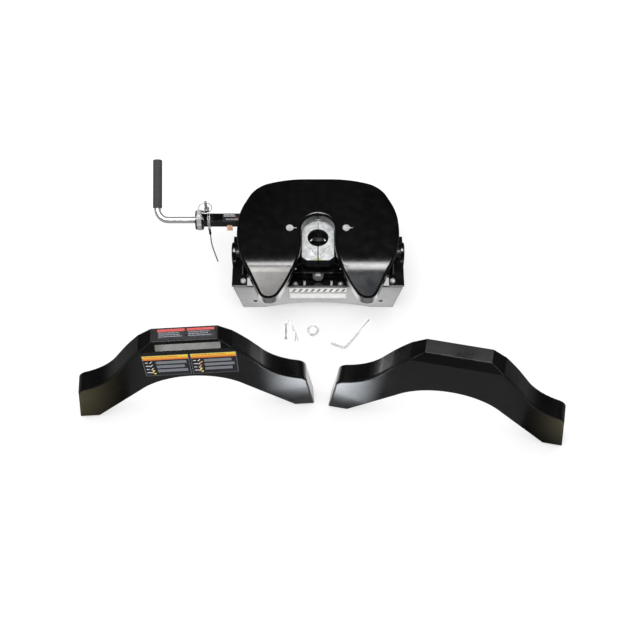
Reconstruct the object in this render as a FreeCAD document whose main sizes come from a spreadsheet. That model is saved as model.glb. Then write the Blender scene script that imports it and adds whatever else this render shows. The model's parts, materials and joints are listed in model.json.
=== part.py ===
import FreeCAD, Part

import math
import os
import re

import Sketcher

# Fifth wheel hitch laid out as a kit: the coupling head stands on its crossmember, the two
# arched legs stand in front of it and the small hardware lies between them.
# Millimetres. X to the right, Y away from the throat's mouth, Z up, floor at Z = 0. The origin
# lies on the floor under the point where the pitch and roll axes cross the middle of the hitch.

DIMENSIONS = {
    # skid plate
    "plate_top": 178, "plate_rim": 26, "plate_slab": 12, "rim_width": 12, "plate_round": 8,
    "bend_start": 56, "bend_radius": 100, "ramp_angle": 28, "plate_reach": 240,
    "far_x": 80, "far_y": 200.5, "far_round": 340, "corner_x": 172, "corner_y": 176, "corner_round": 90,
    "side_far_x": 215, "side_far_y": 88, "side_far_round": 175,
    "side_mid_x": 220, "side_mid_y": 10, "side_mid_round": 240,
    "side_near_x": 207, "side_near_y": 58, "side_near_round": 200,
    "tip_outer_x": 150, "tip_inner_x": 112, "tip_y": 163, "tip_outer_round": 28, "tip_inner_round": 35,
    "flare_x": 72, "flare_y": 112, "flare_round": 195, "throat_near": 42, "neck_round": 170,
    "throat_half": 44.5, "throat_centre": 33,
    "rib_reach": 192, "lube_x": 76, "lube_y": 31, "lube_radius": 10,
    # king pin and jaws
    "pin_y": 24.5, "pin_bore": 25.75, "bore_chamfer": 2.8, "jaw_top": 141.7, "jaw_bottom": 108.3,
    "jaw_half": 46, "jaw_near": 48.8, "jaw_shoulder": 36, "jaw_toe": 30, "jaw_gap": 1.5,
    "jaw_waist": 58, "jaw_tail_x": 65.75, "jaw_tail_y": 74, "lug_radius": 16,
    "pivot_x": 34, "pivot_y": 84, "pivot_radius": 8, "fit": 0.05,
    "follower_lever": 20, "follower_lead": 9, "follower_radius": 5, "follower_play": 0.5,
    # housing
    "housing_plate": 10, "housing_half": 118, "housing_far": 100, "housing_near": 38,
    "window_half": 43, "channel_half": 40, "lock_thick": 10, "lock_bottom": 86,
    "lock_near": 69, "lock_far": 99, "lock_right": 122, "lock_left": 128, "lock_travel": 45,
    # pivots
    "pitch_z": 106, "roll_z": 72, "lobe_radius": 28, "ear_outer": 234, "ear_thick": 10, "ear_round": 4,
    "near_bolt_x": 200, "near_bolt_y": 95, "far_bolt_x": 210.5, "far_bolt_y": 40,
    "arm_outer": 204, "arm_thick": 10, "pivot_pin": 10, "bushing_radius": 16,
    "yoke_near": 48, "yoke_far": 55, "yoke_plate": 10, "yoke_bottom": 54, "yoke_top": 83,
    "saddle_half": 60, "saddle_top": 88, "sleeve_radius": 13,
    # crossmember
    "pan_top_half": 227, "pan_bottom_half": 206, "pan_height": 101, "pan_far_height": 80,
    "pan_half_depth": 109, "pan_wall": 5, "end_wall": 8, "lip_width": 5, "lip_thick": 4,
    "arch_height": 24, "arch_half": 146, "badge_half": 77,
    # handle
    "rod_y": 92, "rod_z": 130, "rod_radius": 9, "tube_side": 26, "tube_bore": 21,
    "tube_inner_x": 180, "tube_outer_x": 314, "rod_bend_x": 442, "rod_bend_radius": 30,
    "rod_start_x": 119.5, "arm_length": 166.5, "arm_raise": 30, "grip_start": 33, "grip_cap": 3,
    "grip_radius": 12.5, "pull_pin_x": 309, "pull_pin_y": 126, "pull_pin_radius": 4,
    "pull_ring_z": 163.5, "pull_ring_radius": 18,
    # legs
    "leg_depth": 50, "leg_wall": 7, "leg_height": 348, "leg_half": 304, "leg_foot": 253,
    "leg_shoulder_x": 287, "leg_shoulder_z": 125, "leg_tab": 6, "leg_round": 6,
    "leg_crown": 192, "leg_spring_x": 130, "leg_spring_z": 132,
    "leg_ridge_z": 322, "leg_ridge_half": 112, "leg_top_half": 78.5, "leg_bevel": 13.5,
    "leg_left_x": -313, "leg_left_y": -429, "leg_left_turn": 3.6,
    "leg_right_x": 325, "leg_right_y": -475, "leg_right_turn": -10.8,
}

SIDES = {"left": -1, "right": 1}

doc = FreeCAD.newDocument("fifth_wheel_hitch")
dims = doc.addObject("Spreadsheet::Sheet", "dims")
for row, (alias, value) in enumerate(DIMENSIONS.items(), start=1):
    dims.set(f"A{row}", alias)
    dims.set(f"B{row}", str(value))
    dims.setAlias(f"B{row}", alias)
doc.recompute()

nodes = []


# Sheet, sketch and feature helpers

def size(expression):
    """The value of an expression in the sheet's names, as a plain number."""
    value = dims.evalExpression(str(expression))
    return float(getattr(value, "Value", value))


def in_sheet(expression):
    """The same expression as other objects write it, with the sheet's name before each alias."""
    def prefixed(match):
        word = match.group(0)
        return "dims." + word if word in DIMENSIONS else word
    return re.sub(r"[a-z_]+", prefixed, str(expression))


def bind(thing, **expressions):
    """Bind properties of an object to expressions; double underscores stand for dots."""
    for name, expression in expressions.items():
        thing.setExpression(name.replace("__", "."), in_sheet(expression))


def place(thing, at, axis=None, angle=None):
    """Put an object at a point of the hitch, turned about an axis if one is given."""
    if axis is not None:
        thing.Placement.Rotation = FreeCAD.Rotation(FreeCAD.Vector(*axis), size(angle))
        if str(angle) != str(size(angle)):
            bind(thing, Placement__Rotation__Angle=f"({angle}) * 1 deg")
    bind(thing, Placement__Base__x=at[0], Placement__Base__y=at[1], Placement__Base__z=at[2])


def node(thing, label):
    """Name an object as a finished sub-part."""
    thing.Label = label
    nodes.append(thing)
    return thing


def mirrored(outline):
    """The same outline on the other side of X = 0."""
    flipped = []
    for corner in outline:
        turned = (f"-({corner[0]})", corner[1])
        flipped.append(turned if len(corner) == 2 else turned + (f"-({corner[2]})",))
    return flipped


def symmetric(half):
    """A closed outline from its right half, which runs from one end on X = 0 to the other."""
    other = []
    for place_in_half in range(len(half) - 1, 0, -1):
        corner = half[place_in_half]
        before = half[place_in_half - 1]
        bulge = before[2:]
        other.append((f"-({corner[0]})", corner[1]) + tuple(bulge))
    return half[:-1] + other


def arc_between(start, end, radius):
    """A circular arc; a positive radius turns left on the way from start to end."""
    chord = end - start
    half = chord.Length / 2
    rise = math.sqrt(max(radius * radius - half * half, 0.0))
    left = FreeCAD.Vector(-chord.y, chord.x, 0).normalize()
    centre = (start + end) * 0.5 + left * (rise if radius > 0 else -rise)
    first, last = (start, end) if radius > 0 else (end, start)
    angles = [math.atan2(p.y - centre.y, p.x - centre.x) for p in (first, last)]
    circle = Part.Circle(centre, FreeCAD.Vector(0, 0, 1), abs(radius))
    return Part.ArcOfCircle(circle, angles[0], angles[1])


def draw(sketch, outline):
    """Draw a closed outline whose corners, and the radii of its arcs, are expressions."""
    points = [FreeCAD.Vector(size(c[0]), size(c[1]), 0) for c in outline]
    first = sketch.GeometryCount
    for index, corner in enumerate(outline):
        start, end = points[index], points[(index + 1) % len(points)]
        if len(corner) == 2:
            sketch.addGeometry(Part.LineSegment(start, end), False)
        else:
            sketch.addGeometry(arc_between(start, end, size(corner[2])), False)
    for index, corner in enumerate(outline):
        edge = first + index
        following = first + (index + 1) % len(outline)
        turns_right = len(corner) > 2 and size(corner[2]) < 0
        following_corner = outline[(index + 1) % len(outline)]
        following_right = len(following_corner) > 2 and size(following_corner[2]) < 0
        joint = (edge, 1 if turns_right else 2, following, 2 if following_right else 1)
        sketch.addConstraint(Sketcher.Constraint("Coincident", *joint))
        start_end = 2 if turns_right else 1
        dimension(sketch, "DistanceX", corner[0], edge, start_end)
        dimension(sketch, "DistanceY", corner[1], edge, start_end)
        if len(corner) > 2:
            dimension(sketch, "Radius", f"abs({corner[2]})", edge)


def draw_circle(sketch, x, y, radius):
    centre = FreeCAD.Vector(size(x), size(y), 0)
    edge = sketch.addGeometry(Part.Circle(centre, FreeCAD.Vector(0, 0, 1), size(radius)), False)
    dimension(sketch, "DistanceX", x, edge, 3)
    dimension(sketch, "DistanceY", y, edge, 3)
    dimension(sketch, "Radius", radius, edge)


def dimension(sketch, kind, expression, *where):
    number = sketch.addConstraint(Sketcher.Constraint(kind, *where, size(expression)))
    if re.search("[a-z]", str(expression)):
        sketch.setExpression(f"Constraints[{number}]", in_sheet(expression))


def new_body(name):
    return doc.addObject("PartDesign::Body", name)


def sketch_on(body, plane, name, offset="0"):
    """A sketch on one of the body's own origin planes, shifted along the plane's normal."""
    sketch = body.newObject("Sketcher::SketchObject", name)
    support = [f for f in body.Origin.OriginFeatures if f.Role == plane][0]
    sketch.AttachmentSupport = [(support, "")]
    sketch.MapMode = "FlatFace"
    bind(sketch, AttachmentOffset__Base__z=offset)
    return sketch


def pad(body, sketch, length, symmetric_pad=False):
    """Pad a sketch towards +X, +Y or +Z, or evenly to both sides."""
    feature = body.newObject("PartDesign::Pad", sketch.Name + "_pad")
    feature.Profile = sketch
    if symmetric_pad:
        feature.SideType = "Symmetric"
    feature.Reversed = sketch.AttachmentSupport[0][0].Role == "XZ_Plane"
    bind(feature, Length=length)
    doc.recompute()
    return feature


def pocket_through(body, sketch):
    """Cut a sketch through the whole body, to both sides."""
    before = body.Shape.Volume
    feature = body.newObject("PartDesign::Pocket", sketch.Name + "_pocket")
    feature.Profile = sketch
    feature.SideType = "Two sides"
    feature.Type = "ThroughAll"
    feature.Type2 = "ThroughAll"
    doc.recompute()
    if body.Shape.Volume > before - 1e-3:
        raise ValueError(sketch.Name + " cuts nothing")
    return feature


def round_edges(body, radius, chosen, kind="PartDesign::Fillet"):
    """Fillet or chamfer the edges of a body that the test chooses."""
    base = body.Tip
    names = [f"Edge{i}" for i, edge in enumerate(base.Shape.Edges, start=1) if chosen(edge)]
    feature = body.newObject(kind, f"{body.Name}_{kind[12:].lower()}")
    feature.Base = (base, names)
    if kind == "PartDesign::Fillet":
        bind(feature, Radius=radius)
    else:
        bind(feature, Size=radius)
    doc.recompute()
    return feature


def plate(name, plane, thickness, outline, at=("0", "0", "0"), circles=(), cutouts=()):
    """A body padded from one outline, with round holes and shaped cutouts in the same sketch."""
    body = new_body(name)
    sketch = sketch_on(body, plane, name + "_outline")
    draw(sketch, outline)
    for circle in circles:
        draw_circle(sketch, *circle)
    for cutout in cutouts:
        draw(sketch, cutout)
    pad(body, sketch, thickness)
    place(body, at)
    return body


def rectangle(low_x, low_y, high_x, high_y):
    return [(low_x, low_y), (high_x, low_y), (high_x, high_y), (low_x, high_y)]


def box(name, low, high):
    """A block between two corners."""
    block = doc.addObject("Part::Box", name)
    lengths = [f"({b}) - ({a})" for a, b in zip(low, high)]
    bind(block, Length=lengths[0], Width=lengths[1], Height=lengths[2])
    place(block, low)
    return block


AXES = {"X": ((0, 1, 0), 90), "Y": ((1, 0, 0), -90), "Z": ((0, 0, 1), 0), "Z turned": ((0, 0, 1), 30)}


def cylinder(name, radius, length, axis, at):
    """A round bar from a point along +X, +Y or +Z."""
    bar = doc.addObject("Part::Cylinder", name)
    bind(bar, Radius=radius, Height=length)
    place(bar, at, *AXES[axis])
    return bar


def hexagon(name, across_flats, length, axis, at):
    bar = doc.addObject("Part::Prism", name)
    bar.Polygon = 6
    bind(bar, Circumradius=f"({across_flats}) / sqrt(3)", Height=length)
    place(bar, at, *AXES[axis])
    return bar


def cut(name, base, *tools):
    result = doc.addObject("Part::Cut", name)
    result.Base = base
    result.Tool = tools[0] if len(tools) == 1 else fuse(name + "_tools", *tools)
    return result


def fuse(name, *pieces):
    result = doc.addObject("Part::MultiFuse", name)
    result.Shapes = list(pieces)
    return result


def group(name, pieces):
    """Identical separate solids kept as one sub-part."""
    result = doc.addObject("Part::Compound", name)
    result.Links = list(pieces)
    return node(result, name)


def ring(name, outer, inner, length, axis, at):
    return cut(
        name,
        cylinder(name + "_outside", outer, length, axis, at),
        cylinder(name + "_hole", inner, length, axis, at),
    )


def vector(*expressions):
    return FreeCAD.Vector(*[size(e) for e in expressions])


def path_wire(points, radii):
    """Straight runs through the points, joined by tangent arcs of the given radii."""
    edges = []
    last = points[0]
    for index, radius in enumerate(radii, start=1):
        corner = points[index]
        arriving = (corner - points[index - 1]).normalize()
        leaving = (points[index + 1] - corner).normalize()
        turn = arriving.getAngle(leaving)
        reach = radius * math.tan(turn / 2)
        start = corner - arriving * reach
        end = corner + leaving * reach
        inward = (leaving - arriving).normalize()
        middle = corner + inward * radius * (1 / math.cos(turn / 2) - 1)
        edges.append(Part.LineSegment(last, start).toShape())
        edges.append(Part.Arc(start, middle, end).toShape())
        last = end
    edges.append(Part.LineSegment(last, points[-1]).toShape())
    return Part.Wire(edges)


def tube_along(wire, radius):
    """A round solid swept along a wire of lines and tangent arcs."""
    edge = wire.OrderedEdges[0]
    start = edge.valueAt(edge.FirstParameter)
    if wire.OrderedEdges[0].Orientation == "Reversed":
        start = edge.valueAt(edge.LastParameter)
    direction = edge.tangentAt(edge.FirstParameter)
    section = Part.Wire(Part.makeCircle(radius, start, direction))
    return wire.makePipeShell([section], True, True)


def shaped(name, shape):
    """A sub-part whose shape is made by a sweep, kept as a plain feature."""
    feature = doc.addObject("Part::Feature", name)
    feature.Shape = shape
    return node(feature, name)


# Skid plate

# Half of the plate's plan: the corners of a polygon and the radius that rounds each.
SKID_CORNERS = [
    ("far_x", "far_y", "far_round"),
    ("corner_x", "corner_y", "corner_round"),
    ("side_far_x", "side_far_y", "side_far_round"),
    ("side_mid_x", "side_mid_y", "side_mid_round"),
    ("side_near_x", "-side_near_y", "side_near_round"),
    ("tip_outer_x", "-tip_y", "tip_outer_round"),
    ("tip_inner_x", "-tip_y", "tip_inner_round"),
    ("flare_x", "-flare_y", "flare_round"),
    ("throat_half", "-throat_near", "neck_round"),
]


def build_skid_column():
    """A tall prism on the plate's rounded plan, open at the throat."""
    corners = [corner[:2] for corner in SKID_CORNERS]
    throat_end = ("throat_half", "throat_centre", "throat_half")
    right = [("0", "far_y")] + corners + [throat_end, ("0", "throat_centre + throat_half")]
    column = plate("skid_column", "XY_Plane", "plate_reach", symmetric(right))
    for x, y, radius in SKID_CORNERS:

        def at_corner(edge):
            middle = edge.CenterOfMass
            upright = abs(edge.tangentAt(edge.FirstParameter).z) > 0.99
            near = abs(abs(middle.x) - size(x)) < 0.1 and abs(middle.y - size(y)) < 0.1
            return upright and near

        round_edges(column, radius, at_corner)
    return column


def skid_profile(upper, lower):
    """Side view of a sheet between two depths below the plate's top, bent down at the ramps."""
    centre_z = "(plate_top - bend_radius)"
    reach = "(plate_reach - bend_start - bend_radius * sin(ramp_angle)) / cos(ramp_angle)"

    def bend(depth):
        radius = f"(bend_radius - ({depth}))"
        return (f"-(bend_start + {radius} * sin(ramp_angle))", f"{centre_z} + {radius} * cos(ramp_angle)")

    def tip(depth):
        corner = bend(depth)
        return (f"{corner[0]} - {reach} * cos(ramp_angle)", f"{corner[1]} - {reach} * sin(ramp_angle)")

    return [
        ("plate_reach", f"plate_top - ({upper})"),
        ("-bend_start", f"plate_top - ({upper})", f"bend_radius - ({upper})"),
        bend(upper),
        tip(upper),
        tip(lower),
        bend(lower) + (f"-(bend_radius - ({lower}))",),
        ("-bend_start", f"plate_top - ({lower})"),
        ("plate_reach", f"plate_top - ({lower})"),
    ]


def bent_sheet(name, upper, lower):
    body = new_body(name)
    side = sketch_on(body, "YZ_Plane", name + "_side")
    draw(side, skid_profile(upper, lower))
    pad(body, side, "2 * plate_reach", symmetric_pad=True)
    return body


def build_skid_plate():
    """A bent plate with a rolled rim all round, hollow underneath inside the rim."""
    column = build_skid_column()
    blank = doc.addObject("Part::Common", "skid_blank")
    blank.Base = bent_sheet("skid_sheet", "0", "plate_rim")
    blank.Tool = column
    doc.recompute()

    def on_top(face):
        low_u, high_u, low_v, high_v = face.ParameterRange
        return face.normalAt((low_u + high_u) / 2, (low_v + high_v) / 2).z > 0.5

    rim = []
    for number, edge in enumerate(blank.Shape.Edges, start=1):
        tops = [on_top(face) for face in blank.Shape.ancestorsOfType(edge, Part.Face)]
        if any(tops) and not all(tops):
            rim.append((number, size("plate_round"), size("plate_round")))
    rolled = doc.addObject("Part::Fillet", "skid_rolled")
    rolled.Base = blank
    rolled.Edges = rim
    inner = doc.addObject("Part::Offset", "skid_inner")
    inner.Source = column
    inner.Join = "Intersection"
    bind(inner, Value="-rim_width")
    hollow = doc.addObject("Part::Common", "skid_hollow")
    hollow.Base = bent_sheet("skid_hollow_sheet", "plate_slab", "plate_rim + 30")
    hollow.Tool = inner
    node(cut("skid", rolled, hollow), "skid_plate")


def build_lube_fittings():
    """Two flush grease fittings, each with a small filler tail."""
    fittings = []
    for side, sign in SIDES.items():
        centre = (f"{sign} * lube_x", "lube_y", "plate_top")
        disc = cylinder(f"lube_disc_{side}", "lube_radius", "1.4", "Z", centre)
        nipple = cylinder(f"lube_nipple_{side}", "3.5", "3.4", "Z", centre)
        low = (f"{sign} * lube_x", "lube_y - 1.2", "plate_top")
        high = (f"{sign} * lube_x + lube_radius + 8", "lube_y + 1.2", "plate_top + 1")
        tail = box(f"lube_tail_{side}", low, high)
        fittings.append(fuse(f"lube_fitting_{side}", disc, nipple, tail))
    group("lube_fittings", fittings)


# Housing and jaws under the plate

HOUSING_TOP_Z = "plate_top - plate_rim - housing_plate"
HOUSING_BOTTOM_Z = "jaw_bottom - 0.3 - housing_plate"


def housing_outline(slot_half, slot_centre):
    right = [
        ("0", "housing_far"),
        ("housing_half", "housing_far"),
        ("housing_half", "-housing_near"),
        (slot_half, "-housing_near"),
        (slot_half, slot_centre, slot_half),
        ("0", f"{slot_centre} + {slot_half}"),
    ]
    return symmetric(right)


def build_housing():
    pivots = [(f"{sign} * pivot_x", "pivot_y", "pivot_radius") for sign in SIDES.values()]
    swing = "follower_radius + follower_play + follower_lever * sin(follower_lead)"
    slots = [(f"{sign} * (pivot_x + follower_lever)", "pivot_y", swing) for sign in SIDES.values()]
    top = plate("housing_top", "XY_Plane", "housing_plate", housing_outline("window_half", "window_half"),
                at=("0", "0", HOUSING_TOP_Z), circles=pivots)
    node(top, "housing_top")
    bottom = plate("housing_bottom", "XY_Plane", "housing_plate", housing_outline("channel_half", "pin_y"),
                   at=("0", "0", HOUSING_BOTTOM_Z), circles=pivots + slots)
    node(bottom, "housing_bottom")
    walls = []
    ribs = []
    for side, sign in SIDES.items():
        near_x = f"min({sign} * housing_half; {sign} * (housing_half - housing_plate))"
        low = (near_x, "-housing_near", f"{HOUSING_BOTTOM_Z} + housing_plate")
        high = (f"{near_x} + housing_plate", "housing_far", HOUSING_TOP_Z)
        walls.append(box(f"housing_side_{side}", low, high))
        rib_low = f"min({sign} * housing_half; {sign} * rib_reach)"
        for index, rib_y in enumerate(("-56", "62")):
            low = (rib_low, rib_y, "plate_top - plate_rim - 8")
            length = "rib_reach - housing_half"
            high = (f"{rib_low} + {length}", f"{rib_y} + 8", "plate_top - plate_slab")
            ribs.append(box(f"rib_{side}_{index}", low, high))
    group("housing_sides", walls)
    group("plate_ribs", ribs)
    pins = []
    for side, sign in SIDES.items():
        foot = (f"{sign} * pivot_x", "pivot_y", HOUSING_BOTTOM_Z)
        length = f"plate_top - plate_rim - ({HOUSING_BOTTOM_Z})"
        pins.append(cylinder(f"jaw_pin_{side}", "pivot_radius", length, "Z", foot))
    group("jaw_pins", pins)


def jaw_outline():
    """Right jaw in plan: half of the king pin bore, a lug round the pivot and a tail outboard."""
    near_mouth = "pin_y - sqrt(pin_bore^2 - jaw_gap^2)"
    far_mouth = "pin_y + sqrt(pin_bore^2 - (jaw_gap / 2)^2)"
    return [
        ("jaw_gap", "-jaw_near"),
        ("jaw_toe", "-jaw_near"),
        ("jaw_half", "-jaw_shoulder"),
        ("jaw_half", "jaw_waist"),
        ("jaw_tail_x", "jaw_tail_y"),
        ("jaw_tail_x", "pivot_y"),
        ("pivot_x", "pivot_y + lug_radius", "lug_radius"),
        ("pivot_x - lug_radius", "pivot_y"),
        ("jaw_gap / 2", "pivot_y"),
        ("jaw_gap / 2", far_mouth, "-pin_bore"),
        ("jaw_gap", near_mouth),
    ]


def build_jaws():
    for side, sign in SIDES.items():
        outline = jaw_outline() if sign > 0 else mirrored(jaw_outline())
        pivot = (f"{sign} * pivot_x", "pivot_y", "pivot_radius + fit")
        jaw = plate(f"jaw_{side}", "XY_Plane", "jaw_top - jaw_bottom", outline,
                    at=("0", "0", "jaw_bottom"), circles=[pivot])
        top = size("jaw_top - jaw_bottom")

        def bore_rim(edge):
            curve = edge.Curve
            round_rim = isinstance(curve, Part.Circle) and abs(curve.Radius - size("pin_bore")) < 0.01
            return round_rim and abs(edge.CenterOfMass.z - top) < 0.01

        round_edges(jaw, "bore_chamfer", bore_rim, "PartDesign::Chamfer")
        node(jaw, f"jaw_{side}")
        follower_x = f"{sign} * (pivot_x + follower_lever * cos(follower_lead))"
        follower_y = "pivot_y - follower_lever * sin(follower_lead)"
        length = "jaw_bottom - lock_bottom"
        node(cylinder(f"jaw_follower_{side}", "follower_radius", length, "Z",
                      (follower_x, follower_y, "lock_bottom")), f"jaw_follower_{side}")


def build_lock():
    """Sliding plate whose two oblique slots swing the jaws' followers, and its upright link."""
    slots = []
    half = "(follower_radius + follower_play)"
    rise = "2 * follower_lever * sin(follower_lead)"
    slant = f"atan(({rise}) / lock_travel)"
    for sign in SIDES.values():
        x = f"({sign} * (pivot_x + follower_lever * cos(follower_lead)))"
        y = "(pivot_y - follower_lever * sin(follower_lead))"
        across_x = f"{half} * sin({slant})"
        across_y = f"{half} * cos({slant})"
        slots.append([
            (f"{x} + {across_x}", f"{y} - {across_y}"),
            (f"{x} + {across_x} + lock_travel", f"{y} - {across_y} + {rise}", half),
            (f"{x} - {across_x} + lock_travel", f"{y} + {across_y} + {rise}"),
            (f"{x} - {across_x}", f"{y} + {across_y}", half),
        ])
    outline = rectangle("-lock_left", "lock_near", "lock_right", "lock_far")
    slide = plate("lock_slide", "XY_Plane", "lock_thick", outline, at=("0", "0", "lock_bottom"), cutouts=slots)
    link_outline = rectangle("rod_y - 14", "lock_bottom + lock_thick", "rod_y + 12", "rod_z + 12")
    link = plate("lock_link", "YZ_Plane", "8", link_outline, at=("-lock_left", "0", "0"),
                 circles=[("rod_y", "rod_z", "rod_radius + fit")])
    node(fuse("lock_slide_and_link", slide, link), "lock_plate")


# Roll pivot, yoke and pitch pivots

def build_saddle():
    """Block under the housing that carries the roll sleeve, its top clear of the king pin."""
    right = [
        ("0", "saddle_top"),
        ("channel_half + 4", "saddle_top"),
        ("channel_half + 4", HOUSING_BOTTOM_Z),
        ("saddle_half", HOUSING_BOTTOM_Z),
        ("saddle_half", "saddle_top - 8"),
        ("20", "yoke_bottom + 2"),
        ("0", "yoke_bottom + 2"),
    ]
    saddle = plate("roll_saddle", "XZ_Plane", "yoke_near + yoke_far - 2 * yoke_plate - 1", symmetric(right),
                   at=("0", "-(yoke_near - yoke_plate - 0.5)", "0"), circles=[("0", "roll_z", "sleeve_radius")])
    node(saddle, "roll_saddle")
    starts = ("-(yoke_near - yoke_plate - 0.5)", "yoke_far - yoke_plate - 0.5 - 20")
    sleeves = [
        ring(f"roll_sleeve_{index}", "sleeve_radius", "pivot_pin + fit", "20", "Y", ("0", start, "roll_z"))
        for index, start in enumerate(starts)
    ]
    group("roll_bushings", sleeves)
    cover_low = ("-(channel_half + 3)", "-56", "saddle_top")
    cover_high = ("channel_half + 3", "-18", "saddle_top + 3")
    node(box("channel_cover", cover_low, cover_high), "channel_cover")


def cross_plate_outline():
    right = [
        ("0", "yoke_top"),
        ("40", "yoke_top"),
        ("120", "yoke_top - 12"),
        ("arm_outer - arm_thick", "yoke_top - 12"),
        ("arm_outer - arm_thick", "yoke_bottom"),
        ("0", "yoke_bottom"),
    ]
    return symmetric(right)


def yoke_arm_outline():
    lobe = "(lobe_radius - 2)"
    return [
        ("-yoke_near", "yoke_bottom"),
        ("yoke_far", "yoke_bottom"),
        ("yoke_far", "yoke_top - 12"),
        (lobe, "pitch_z", lobe),
        ("0", f"pitch_z + {lobe}", lobe),
        (f"-{lobe}", "pitch_z"),
        ("-yoke_near", "yoke_top - 12"),
    ]


def build_yoke():
    pieces = []
    for name, y in (("near", "-yoke_near"), ("far", "yoke_far - yoke_plate")):
        pieces.append(plate(f"yoke_{name}", "XZ_Plane", "yoke_plate", cross_plate_outline(),
                            at=("0", y, "0"), circles=[("0", "roll_z", "pivot_pin")]))
    for side, sign in SIDES.items():
        x = f"min({sign} * arm_outer; {sign} * (arm_outer - arm_thick))"
        pieces.append(plate(f"yoke_arm_{side}", "YZ_Plane", "arm_thick", yoke_arm_outline(),
                            at=(x, "0", "0"), circles=[("0", "pitch_z", "pivot_pin")]))
    node(fuse("yoke_frame", *pieces), "yoke")
    pins = []
    spacers = []
    for side, sign in SIDES.items():
        inner = "arm_outer - arm_thick - 4"
        start = f"min({sign} * ear_outer; {sign} * ({inner}))"
        pins.append(cylinder(f"trunnion_pin_{side}", "pivot_pin", f"ear_outer - ({inner})", "X",
                             (start, "0", "pitch_z")))
        gap = "ear_outer - ear_thick - 0.3 - arm_outer"
        start = f"min({sign} * arm_outer; {sign} * (arm_outer + {gap}))"
        spacers.append(ring(f"trunnion_spacer_{side}", "pivot_pin + 4", "pivot_pin + fit", gap, "X",
                            (start, "0", "pitch_z")))
    group("trunnion_pins", pins)
    group("trunnion_spacers", spacers)
    shank_start = "-(yoke_near + 2.5)"
    shank = cylinder("roll_shank", "pivot_pin", "yoke_near + 2.5 + yoke_far + 14", "Y", ("0", shank_start, "roll_z"))
    head = hexagon("roll_head", "24", "11", "Y", ("0", f"{shank_start} - 11", "roll_z"))
    node(fuse("roll_pin", shank, head), "roll_pin")
    node(ring("roll_washer", "15.2", "pivot_pin + fit", "2.5", "Y", ("0", shank_start, "roll_z")), "roll_washer")
    nut = hexagon("roll_nut_block", "30", "12", "Y", ("0", "yoke_far", "roll_z"))
    bore = cylinder("roll_nut_bore", "pivot_pin + fit", "12", "Y", ("0", "yoke_far", "roll_z"))
    node(cut("roll_nut", nut, bore), "roll_nut")


# Crossmember

def panel_outline(height):
    arch = "(arch_half^2 + arch_height^2) / (2 * arch_height)"
    top_half = f"pan_bottom_half + (pan_top_half - pan_bottom_half) * ({height}) / pan_height"
    return [
        ("-pan_bottom_half", "0"),
        ("-arch_half", "0", f"-({arch})"),
        ("arch_half", "0"),
        ("pan_bottom_half", "0"),
        (top_half, height),
        (f"-({top_half})", height),
    ]


LEG_HOLE_X = "171"
LEG_HOLE_Z = "33"
LEG_HOLE_RADIUS = "5.5"


def build_crossmember():
    holes = [(f"{sign} * {LEG_HOLE_X}", LEG_HOLE_Z, LEG_HOLE_RADIUS) for sign in SIDES.values()]
    near = plate("near_panel", "XZ_Plane", "pan_wall", panel_outline("pan_height"),
                 at=("0", "-pan_half_depth", "0"), circles=holes)
    lip = box("near_lip", ("-pan_top_half + 1", "-pan_half_depth + 1", "pan_height - lip_thick"),
              ("pan_top_half - 1", "-pan_half_depth + lip_width", "pan_height"))
    node(fuse("crossmember_rear", near, lip), "crossmember_rear")
    far = plate("far_panel", "XZ_Plane", "pan_wall", panel_outline("pan_far_height"),
                at=("0", "pan_half_depth - pan_wall", "0"), circles=holes)
    node(far, "crossmember_front")
    inside = "pan_half_depth - pan_wall"
    ends = []
    for side, sign in SIDES.items():
        wall = [
            ("pan_bottom_half - end_wall", "0"),
            ("pan_bottom_half", "0"),
            ("pan_top_half", "pan_height"),
            ("pan_top_half - end_wall", "pan_height"),
        ]
        outline = wall if sign > 0 else mirrored(wall)
        end = plate(f"end_wall_{side}", "XZ_Plane", f"2 * ({inside})", outline,
                    at=("0", f"-({inside})", "0"))
        lip_room = box(f"end_lip_room_{side}", (f"{sign} * 215 - 30", "-pan_half_depth", "pan_height - lip_thick"),
                       (f"{sign} * 215 + 30", "-pan_half_depth + lip_width", "pan_height"))
        far_step = box(f"end_step_{side}", (f"{sign} * 215 - 30", "55", "pan_far_height"),
                       (f"{sign} * 215 + 30", "pan_half_depth", "pan_height + 1"))
        notch = box(f"end_notch_{side}", (f"{sign} * 215 - 30", "-(lobe_radius + 0.5)", "pitch_z - 20"),
                    (f"{sign} * 215 + 30", "lobe_radius + 0.5", "pan_height + 1"))
        ends.append(cut(f"end_plate_{side}", end, lip_room, far_step, notch))
    group("crossmember_ends", ends)
    tie_bar = box("tie_bar", ("-100", f"-({inside})", "43"), ("100", "-61", "54"))
    tie_shelf = box("tie_shelf", ("-100", "-61", "43"), ("100", "-43", "47"))
    node(fuse("tie_bar_and_shelf", tie_bar, tie_shelf), "tie_plate")
    domes = []
    tabs = []
    for side, sign in SIDES.items():
        dome = doc.addObject("Part::Sphere", f"dome_{side}")
        bind(dome, Radius="8")
        dome.Angle1 = 0
        place(dome, (f"{sign} * 62", "-70", "54"))
        domes.append(dome)
        tabs.append(box(f"tab_{side}", (f"{sign} * 37 - 3", "-76", "54"), (f"{sign} * 37 + 3", "-62", "60")))
    group("tie_bolts", domes)
    group("tie_tabs", tabs)
    face_y = "-pan_half_depth"
    node(box("badge_plate", ("-badge_half", f"{face_y} - 1", "47"), ("badge_half", face_y, "73")), "badge_plate")
    node(box("badge_strip", ("-badge_half", f"{face_y} - 1", "77"), ("badge_half", face_y, "97")), "badge_strip")


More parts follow.
